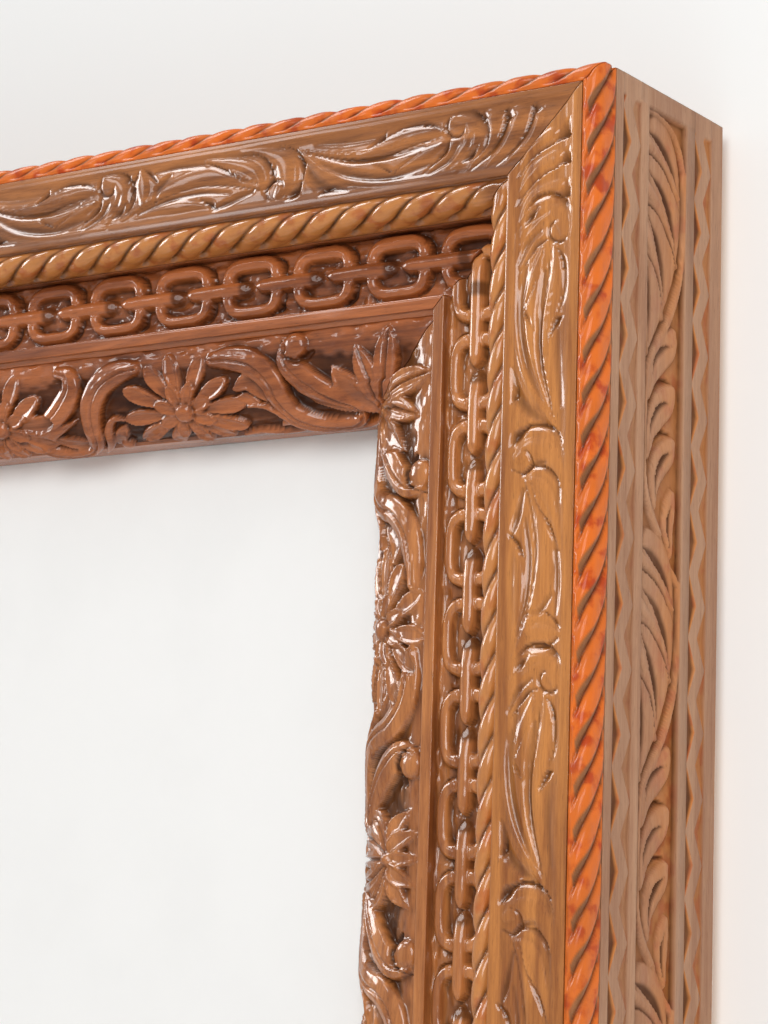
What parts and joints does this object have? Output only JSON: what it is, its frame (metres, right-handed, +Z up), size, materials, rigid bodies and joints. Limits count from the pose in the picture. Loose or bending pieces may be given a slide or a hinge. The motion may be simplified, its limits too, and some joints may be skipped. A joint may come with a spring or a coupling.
{
  "type": "carved picture frame",
  "caption": "Deep rectangular wall frame of mitred carved wood round a plain white panel, held by turn buttons behind and hung from ring hangers.",
  "frame": {"origin": "on the wall plane, midway between the two places where the hanging rings bear on their wall hooks", "axes": "+X to the right seen from the front, +Y into the wall so that the carved front faces -Y, +Z up"},
  "size_m": [0.646, 0.1, 0.778],
  "materials": {
    "rim_wood": "matte pinkish brown hardwood with orange stain in the carving",
    "frieze_wood": "glossy varnish over golden brown hardwood",
    "sight_wood": "glossy varnish over reddish brown hardwood",
    "white_panel": "plain matte white board",
    "backing": "bare brown hardboard",
    "batten_wood": "bare pale softwood",
    "button_brass": "stamped brass",
    "screw_brass": "turned brass",
    "hanger_steel": "zinc plated steel"
  },
  "bodies": {
    "frame": {"rim_plank_top": "rim_wood", "rim_plank_right": "rim_wood", "rim_plank_bottom": "rim_wood", "rim_plank_left": "rim_wood", "frieze_board_top": "frieze_wood", "frieze_board_right": "frieze_wood", "frieze_board_bottom": "frieze_wood", "frieze_board_left": "frieze_wood", "sight_board_top": "sight_wood", "sight_board_right": "sight_wood", "sight_board_bottom": "sight_wood", "sight_board_left": "sight_wood", "picture_panel": "white_panel", "backing_board": "backing", "back_batten_top": "batten_wood", "back_batten_bottom": "batten_wood", "back_batten_left": "batten_wood", "back_batten_right": "batten_wood", "button_screw_top_1": "screw_brass", "button_screw_top_2": "screw_brass", "button_screw_right_1": "screw_brass", "button_screw_right_2": "screw_brass", "button_screw_bottom_1": "screw_brass", "button_screw_bottom_2": "screw_brass", "button_screw_left_1": "screw_brass", "button_screw_left_2": "screw_brass", "hanger_strap_left": "hanger_steel", "hanger_strap_right": "hanger_steel", "hanger_screw_left_upper": "hanger_steel", "hanger_screw_left_lower": "hanger_steel", "hanger_screw_right_upper": "hanger_steel", "hanger_screw_right_lower": "hanger_steel"},
    "button_top_1": {"turn_button_top_1": "button_brass"},
    "button_top_2": {"turn_button_top_2": "button_brass"},
    "button_right_1": {"turn_button_right_1": "button_brass"},
    "button_right_2": {"turn_button_right_2": "button_brass"},
    "button_bottom_1": {"turn_button_bottom_1": "button_brass"},
    "button_bottom_2": {"turn_button_bottom_2": "button_brass"},
    "button_left_1": {"turn_button_left_1": "button_brass"},
    "button_left_2": {"turn_button_left_2": "button_brass"},
    "ring_left": {"hanger_ring_left": "hanger_steel"},
    "ring_right": {"hanger_ring_right": "hanger_steel"}
  },
  "joints": [
    {"name": "turn_top_1", "type": "hinge", "parent": "frame", "child": "button_top_1", "pos_m": [-0.102, -0.0333, 0.072], "axis": [0, 1, 0], "continuous": true},
    {"name": "turn_top_2", "type": "hinge", "parent": "frame", "child": "button_top_2", "pos_m": [0.102, -0.0333, 0.072], "axis": [0, 1, 0], "continuous": true},
    {"name": "turn_right_1", "type": "hinge", "parent": "frame", "child": "button_right_1", "pos_m": [0.215, -0.0333, -0.074], "axis": [0, 1, 0], "continuous": true},
    {"name": "turn_right_2", "type": "hinge", "parent": "frame", "child": "button_right_2", "pos_m": [0.215, -0.0333, -0.344], "axis": [0, 1, 0], "continuous": true},
    {"name": "turn_bottom_1", "type": "hinge", "parent": "frame", "child": "button_bottom_1", "pos_m": [0.102, -0.0333, -0.49], "axis": [0, 1, 0], "continuous": true},
    {"name": "turn_bottom_2", "type": "hinge", "parent": "frame", "child": "button_bottom_2", "pos_m": [-0.102, -0.0333, -0.49], "axis": [0, 1, 0], "continuous": true},
    {"name": "turn_left_1", "type": "hinge", "parent": "frame", "child": "button_left_1", "pos_m": [-0.215, -0.0333, -0.344], "axis": [0, 1, 0], "continuous": true},
    {"name": "turn_left_2", "type": "hinge", "parent": "frame", "child": "button_left_2", "pos_m": [-0.215, -0.0333, -0.074], "axis": [0, 1, 0], "continuous": true},
    {"name": "ring_left_swing", "type": "hinge", "parent": "frame", "child": "ring_left", "pos_m": [-0.3012, -0.0047, -0.01845], "axis": [-1, 0, 0], "range_deg": [0, 184]},
    {"name": "ring_right_swing", "type": "hinge", "parent": "frame", "child": "ring_right", "pos_m": [0.3012, -0.0047, -0.01845], "axis": [-1, 0, 0], "range_deg": [0, 184]}
  ]
}
